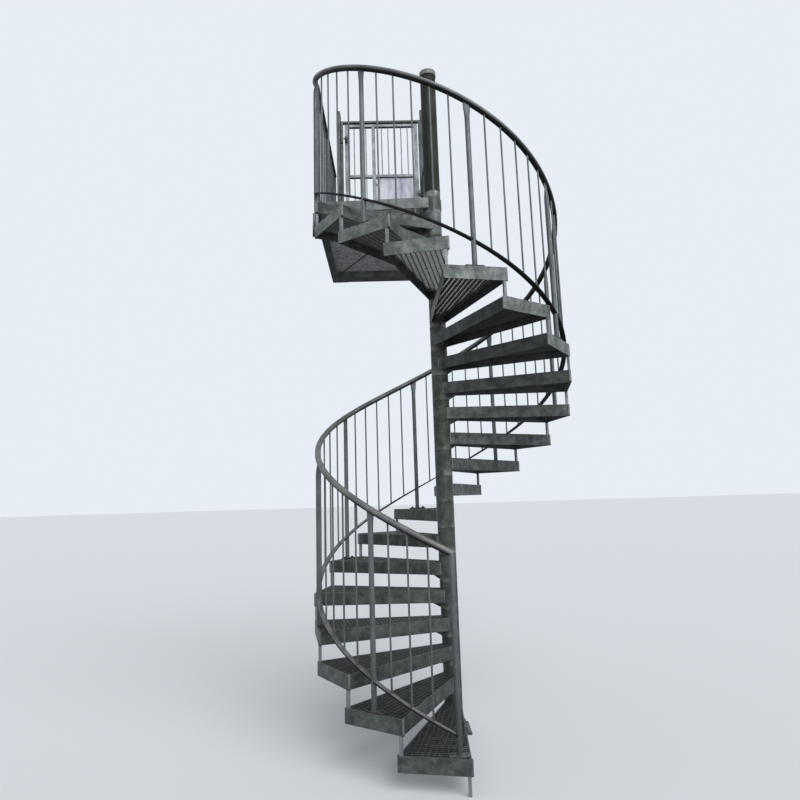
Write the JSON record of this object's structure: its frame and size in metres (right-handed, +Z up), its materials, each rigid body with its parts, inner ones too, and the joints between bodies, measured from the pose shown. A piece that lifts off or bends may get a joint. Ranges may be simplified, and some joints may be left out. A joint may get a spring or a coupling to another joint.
{
  "type": "spiral fire escape stair",
  "caption": "Galvanised spiral stair with a centre column, open grating treads, a helical handrail, a landing for a wall and a tall hinged gate.",
  "frame": {"origin": "on the ground under the axis of the centre column, at the underside of the base plate", "axes": "+X along the wall to the hinge side of the gate, +Y towards the wall, +Z up"},
  "size_m": [1.956, 2.548, 5.88],
  "materials": {
    "galvanised_plate": "weathered hot-dip galvanised",
    "galvanised_grating": "weathered hot-dip galvanised",
    "galvanised_rail": "weathered hot-dip galvanised",
    "galvanised_gate": "weathered hot-dip galvanised",
    "pale_sheet": "pale grey sheet",
    "weathered_column": "dull galvanised with green-brown weathering",
    "black_steel": "satin black"
  },
  "bodies": {
    "stair": {"base_plate": "weathered_column", "centre_pole": "weathered_column", "tread_01": "galvanised_plate", "tread_02": "galvanised_plate", "tread_03": "galvanised_plate", "tread_04": "galvanised_plate", "tread_05": "galvanised_plate", "tread_06": "galvanised_plate", "tread_07": "galvanised_plate", "tread_08": "galvanised_plate", "tread_09": "galvanised_plate", "tread_10": "galvanised_plate", "tread_11": "galvanised_plate", "tread_12": "galvanised_plate", "tread_13": "galvanised_plate", "tread_14": "galvanised_plate", "tread_15": "galvanised_plate", "tread_16": "galvanised_plate", "tread_17": "galvanised_plate", "tread_18": "galvanised_plate", "tread_19": "galvanised_plate", "tread_20": "galvanised_plate", "tread_gratings_low": "galvanised_grating", "tread_gratings_left": "galvanised_grating", "tread_gratings_right": "galvanised_grating", "tread_gratings_high": "galvanised_grating", "rim_spacers": "galvanised_plate", "landing_frame": "galvanised_plate", "landing_gratings": "galvanised_grating", "top_sleeve": "weathered_column", "pole_cap": "weathered_column", "handrail": "galvanised_rail", "bottom_rail": "galvanised_rail", "start_newel": "galvanised_rail", "guard_posts": "galvanised_rail", "guard_bars": "galvanised_rail", "landing_guard_left": "galvanised_rail", "landing_guard_right": "galvanised_rail", "wall_plates": "galvanised_plate", "gate_frame": "galvanised_gate", "gate_hinges": "black_steel", "latch_keeper": "black_steel"},
    "gate": {"gate_leaf": "galvanised_gate", "gate_sheet": "pale_sheet", "gate_latch": "black_steel"}
  },
  "joints": [
    {"name": "gate_hinge", "type": "hinge", "parent": "stair", "child": "gate", "pos_m": [0.002, 1.5025, 4.22], "axis": [0, 0, 1], "range_deg": [0, 90]}
  ]
}
